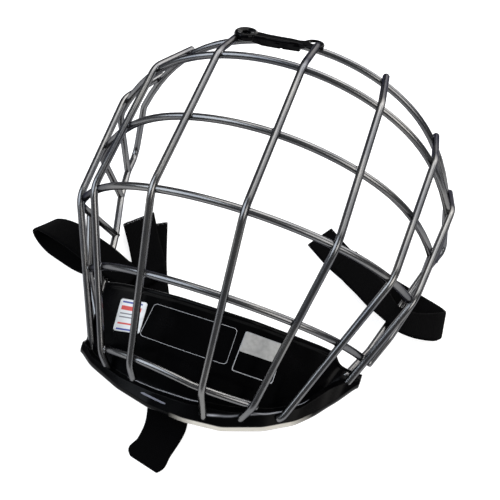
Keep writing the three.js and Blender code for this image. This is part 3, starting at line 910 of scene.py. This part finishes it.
# Each row holds the near and the far edge of the web at one place along it.
STRAP_LEFT = [
    ((-82, -7, 4.6), (-68.4, 8.5, 4.6)),
    ((-73, -19.5, 4.4), (-58, -8, 4.4)),
    ((-63, -35, 4.4), (-48.5, -21.5, 4.4)),
    ((-56, -46.5, 4.3), (-45.6, -27, 4.3)),
    ((-55.3, -46.8, 3.5), (-44.9, -27.3, 3.5)),
    ((-56, -46.5, 2.7), (-45.6, -27, 2.7)),
    ((-68, -45.5, 2.7), (-66.5, -29, 2.7)),
    ((-80, -46, 1.4), (-79, -26, 1.4)),
    ((-93, -46, 0.9), (-89, -26, 0.9)),
    ((-106, -43.2, 0.9), (-101, -24, 0.9)),
    ((-118, -39.4, 1.3), (-109.5, -21.5, 1.0)),
    ((-123, -37.1, 3), (-113.5, -20.8, 1.6)),
    ((-126, -35.6, 6), (-116.5, -21, 3.2)),
    ((-126.5, -35.3, 10), (-118, -21.8, 6)),
    ((-123.6, -35.7, 14), (-117.5, -22.2, 9.5)),
    ((-118, -38, 17), (-114.3, -22.3, 12)),
    ((-105, -41.6, 18.6), (-103.5, -22.7, 13.5)),
    ((-92, -44.5, 15.5), (-89, -25.8, 12)),
    ((-83, -46.5, 12.5), (-79.5, -28, 10.6)),
    ((-72, -48.5, 9.9), (-68, -32, 9.1)),
    ((-62, -50.5, 7.2), (-58, -36, 7.7)),
]
STRAP_RIGHT = [
    ((26, 25, 0.8), (36, 42.5, 0.8)),
    ((46, 12, 0.8), (54.5, 30, 0.8)),
    ((62, 5, 0.8), (68, 24.2, 0.8)),
    ((79, 0.8, 0.8), (83.4, 20.8, 0.8)),
    ((95.5, -3.8, 0.9), (100.4, 15.9, 0.9)),
    ((105.5, -7, 1.2), (109.5, 13.3, 1.2)),
    ((112.5, -10, 3), (114.3, 10.6, 2.8)),
    ((115.9, -12.1, 7.5), (115.2, 8, 5.4)),
    ((114.1, -16.7, 11), (112, 3.6, 8.6)),
    ((107.9, -20.6, 13.8), (106, -0.9, 10.6)),
    ((98.6, -22.9, 15.6), (99.4, -4.2, 11.7)),
    ((91.7, -22.2, 15.6), (94.4, -4.6, 12)),
    ((85.1, -18.3, 14.3), (89.6, -4.2, 11.9)),
    ((77, -12.3, 11.2), (84.6, 0.8, 10.2)),
    ((71.9, -8.2, 8.3), (80, 8, 8)),
    ((62.9, -0.1, 4.8), (72.5, 16.5, 4.8)),
    ((54, 6.4, 3), (64, 23.5, 3)),
    ((45.7, 12.8, 2.7), (55, 30.4, 2.7)),
]
STRAP_TAIL = [
    ((-76.5, -4.5, 0.8), (-59, 7.3, 0.8)),
    ((-63, -35, 0.8), (-45, -27, 0.8)),
    ((-40, -76, 0.8), (-22, -67, 0.8)),
    ((-24, -104, 0.8), (-3, -99, 0.8)),
    ((-19.7, -117, 0.8), (2, -114, 0.8)),
    ((-19.6, -127, 0.8), (0, -130, 0.8)),
    ((-20.8, -136, 0.8), (-2, -139.5, 0.8)),
    ((-19.4, -137.3, 0.8), (-3.2, -140.8, 0.8)),
]


def product(tree, first, second):
    times = tree.nodes.new("ShaderNodeMath")
    times.operation = "MULTIPLY"
    tree.links.new(first, times.inputs[0])
    tree.links.new(second, times.inputs[1])
    return times.outputs["Value"]


def yarn_rows(tree, place, way, scale, distortion, detail):
    rows = tree.nodes.new("ShaderNodeTexWave")
    rows.wave_type = "BANDS"
    rows.bands_direction = way
    rows.inputs["Scale"].default_value = scale
    rows.inputs["Distortion"].default_value = distortion
    rows.inputs["Detail"].default_value = detail
    tree.links.new(place, rows.inputs["Vector"])
    return rows.outputs["Fac"]


webbing, tree, bsdf = new_finish("black_webbing")
bsdf.inputs["Specular IOR Level"].default_value = 0.03
spot = tree.nodes.new("ShaderNodeUVMap")
spot.uv_map = "web"
ribs = yarn_rows(tree, spot.outputs["UV"], "Y", scale=0.32, distortion=0.6, detail=1)
warp = yarn_rows(tree, spot.outputs["UV"], "X", scale=0.36, distortion=0.4, detail=2)
weave = product(tree, ribs, warp)
fuzz = speckle(tree, spot.outputs["UV"], scale=0.5, detail=6)
woven = product(tree, weave, fuzz)
toned(tree, bsdf, woven, dark=(0.0004, 0.0004, 0.0005), light=(0.0022, 0.0022, 0.0027), high=0.6)
dulled(tree, bsdf, fuzz, low=0.72, high=0.95)
relief(tree, bsdf, weave, strength=0.5, depth=0.25)


def smooth_rows(rows):
    edges = np.array(rows, dtype=float)
    middles = edges.mean(1)
    along = np.concatenate(([0], np.cumsum(np.linalg.norm(np.diff(middles, axis=0), axis=1))))
    slopes = np.gradient(edges, along, axis=0)
    marks = np.linspace(0, along[-1], int(along[-1] / WEB_STEP) + 1)
    out = []
    for mark in marks:
        k = min(int(np.searchsorted(along, mark, side="right")) - 1, len(along) - 2)
        span = along[k + 1] - along[k]
        t = (mark - along[k]) / span
        start = (2 * t**3 - 3 * t**2 + 1) * edges[k] + (t**3 - 2 * t**2 + t) * span * slopes[k]
        end = (-2 * t**3 + 3 * t**2) * edges[k + 1] + (t**3 - t**2) * span * slopes[k + 1]
        out.append(start + end)
    return np.array(out), marks


def web_strap(name, rows):
    edges, marks = smooth_rows(rows)
    middles = edges.mean(1)
    runs = np.gradient(middles, axis=0)
    sections, uvs = [], []
    for (near, far), run, mark in zip(edges, runs, marks):
        across = far - near
        width = np.linalg.norm(across)
        up = np.cross(across, run)
        up /= np.linalg.norm(up)
        section = []
        for face in (1, -1):
            for k in range(WEB_COLUMNS + 1):
                s = k / WEB_COLUMNS if face == 1 else 1 - k / WEB_COLUMNS
                thinned = max(0, (abs(2 * s - 1) - (1 - SELVAGE)) / SELVAGE)
                half = WEB_THICKNESS / 2 * (1 - SELVAGE_THINNING * thinned**2)
                section.append(near + across * s + up * face * half)
                uvs.append((s * width, mark))
        sections.append([Vector(point) for point in section])
    verts, faces = loft(sections)
    strap = new_piece(name, verts, faces, webbing, FLOOR)
    layer = strap.data.uv_layers.new(name="web")
    for loop in strap.data.loops:
        layer.data[loop.index].uv = uvs[loop.vertex_index]
    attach(strap, "root")
    return strap, float(marks[-1]) * MM, (edges[0], middles[0] - middles[1])


left_strap, left_length, left_cut = web_strap("webbing_left", STRAP_LEFT)
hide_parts("strap_left")
right_strap, right_length, _ = web_strap("webbing_right", STRAP_RIGHT)
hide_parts("strap_right")
tail_strap, tail_length, tail_cut = web_strap("webbing_tail", STRAP_TAIL)
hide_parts("strap_tail")

# Loose threads: the warp of the webbing, frayed out where the left strap and the tail are cut off inside the
# mask. They are short, bent every way and greyer than the woven face, because the cut shows the inside of
# the yarn.
FRAY_COUNT = 34
FRAY_SEED = 11
THREAD_LENGTH, THREAD_RADIUS, THREAD_TIP = 2.4, 0.17, 0.04
THREAD_ROOT, THREAD_LIFT = 1.5, 0.7
THREAD_SIDES = 6
THREAD_LEAST, THREAD_MOST = 0.45, 1.0
STRAY_LEAST, STRAY_MOST = (-0.55, -0.55, -0.1), (0.55, 0.55, 0.5)
thread_places, thread_ways = [], []
for (near, far), way in (left_cut, tail_cut):
    way = way / np.linalg.norm(way)
    for share in np.linspace(0.02, 0.98, FRAY_COUNT):
        root = Vector(near + (far - near) * share - way * THREAD_ROOT)
        thread_places.append(FLOOR @ (root + Vector((0, 0, THREAD_LIFT))))
        thread_ways.append(way)

yarn, tree, bsdf = new_finish("cut_yarn")
bsdf.inputs["Roughness"].default_value = 0.8
bsdf.inputs["Specular IOR Level"].default_value = 0.05
place = tree.nodes.new("ShaderNodeTexCoord").outputs["Object"]
speck = speckle(tree, place, scale=700)
toned(tree, bsdf, speck, dark=(0.001, 0.001, 0.0012), light=(0.32, 0.32, 0.33), low=0.4, high=0.62)

group, sockets = new_group(
    "threads_at_cut",
    [
        ("Places", "Geometry"),
        ("Thread length", "Float"),
        ("Thread radius", "Float"),
        ("Seed", "Int"),
        ("Yarn", "Material"),
    ],
    "Threads",
)
entry, leaving = group.nodes.new("NodeGroupInput"), group.nodes.new("NodeGroupOutput")
thread = group.nodes.new("GeometryNodeMeshCone")
thread.inputs["Vertices"].default_value = THREAD_SIDES
thread.inputs["Radius Top"].default_value = THREAD_TIP * MM
way = group.nodes.new("GeometryNodeInputNamedAttribute")
way.data_type = "FLOAT_VECTOR"
way.inputs["Name"].default_value = "facing"
stray = group.nodes.new("FunctionNodeRandomValue")
stray.data_type = "FLOAT_VECTOR"
stray.inputs[0].default_value = STRAY_LEAST
stray.inputs[1].default_value = STRAY_MOST
lean = group.nodes.new("ShaderNodeVectorMath")
lean.operation = "ADD"
turn = group.nodes.new("FunctionNodeAlignRotationToVector")
turn.axis = "Z"
vary = group.nodes.new("FunctionNodeRandomValue")
vary.inputs[2].default_value = THREAD_LEAST
vary.inputs[3].default_value = THREAD_MOST
spread = group.nodes.new("GeometryNodeInstanceOnPoints")
real = group.nodes.new("GeometryNodeRealizeInstances")
paint = group.nodes.new("GeometryNodeSetMaterial")
join(
    group,
    [
        (entry, "Places", spread, "Points"),
        (entry, "Thread length", thread, "Depth"),
        (entry, "Thread radius", thread, "Radius Bottom"),
        (entry, "Seed", stray, "Seed"),
        (entry, "Seed", vary, "Seed"),
        (way, "Attribute", lean, 0),
        (stray, 0, lean, 1),
        (lean, "Vector", turn, "Vector"),
        (turn, "Rotation", spread, "Rotation"),
        (vary, 1, spread, "Scale"),
        (thread, "Mesh", spread, "Instance"),
        (spread, "Instances", real, "Geometry"),
        (real, "Geometry", paint, "Geometry"),
        (entry, "Yarn", paint, "Material"),
        (paint, "Geometry", leaving, "Threads"),
    ],
)
threads = facing_points("strap_threads", thread_places, thread_ways)
grow(
    threads,
    group,
    sockets,
    [
        ("Thread length", THREAD_LENGTH * MM),
        ("Thread radius", THREAD_RADIUS * MM),
        ("Seed", FRAY_SEED),
        ("Yarn", yarn),
    ],
)
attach(threads, "root")

# Floor: a plain white light table under the mask, in a dim room with five soft boxes round it.
# It glows a little by itself, so the mask throws almost no shadow on it.
floor_mesh = bpy.data.meshes.new("floor")
floor_mesh.from_pydata([(-1, -1, 0), (1, -1, 0), (1, 1, 0), (-1, 1, 0)], [], [(0, 1, 2, 3)])
floor = bpy.data.objects.new("floor", floor_mesh)
scene.collection.objects.link(floor)
paper, tree, bsdf = new_finish("white_paper")
bsdf.inputs["Roughness"].default_value = 0.9
bsdf.inputs["Specular IOR Level"].default_value = 0.1
bsdf.inputs["Emission Color"].default_value = (1, 1, 1, 1)
bsdf.inputs["Emission Strength"].default_value = 0.78
fibre = tree.nodes.new("ShaderNodeTexNoise")
fibre.inputs["Scale"].default_value = 3
toned(tree, bsdf, fibre.outputs["Fac"], dark=(0.44, 0.44, 0.44), light=(0.48, 0.48, 0.48))
floor.data.materials.append(paper)
floor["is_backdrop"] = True

world = bpy.data.worlds.new("studio")
scene.world = world
world.use_nodes = True
sky = world.node_tree.nodes["Background"]
sky.inputs["Color"].default_value = (0.95, 0.97, 1.0, 1)
sky.inputs["Strength"].default_value = 0.2
for name, spot, size, power, colour in (
    ("lamp_brow", (-0.12, 0.65, 1.0), 0.8, 8, (1, 0.98, 0.95)),
    ("lamp_chin", (0.8, -0.5, 1.0), 0.8, 8, (1, 0.97, 0.93)),
    ("lamp_side", (-0.9, -0.35, 0.95), 1.1, 16, (0.84, 0.91, 1)),
    ("lamp_back", (0.7, 0.9, 1.1), 1.2, 8, (1, 1, 1)),
    ("lamp_far", (0.5, 1.6, 0.5), 1.6, 26, (1, 0.97, 0.94)),
):
    lamp = bpy.data.objects.new(name, bpy.data.lights.new(name, "AREA"))
    lamp.data.size = size
    lamp.data.energy = power
    lamp.data.color = colour
    lamp.location = spot
    lamp.rotation_euler = (-Vector(spot)).to_track_quat("-Z", "Y").to_euler()
    scene.collection.objects.link(lamp)
scene.view_settings.view_transform = "Standard"

low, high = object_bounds()
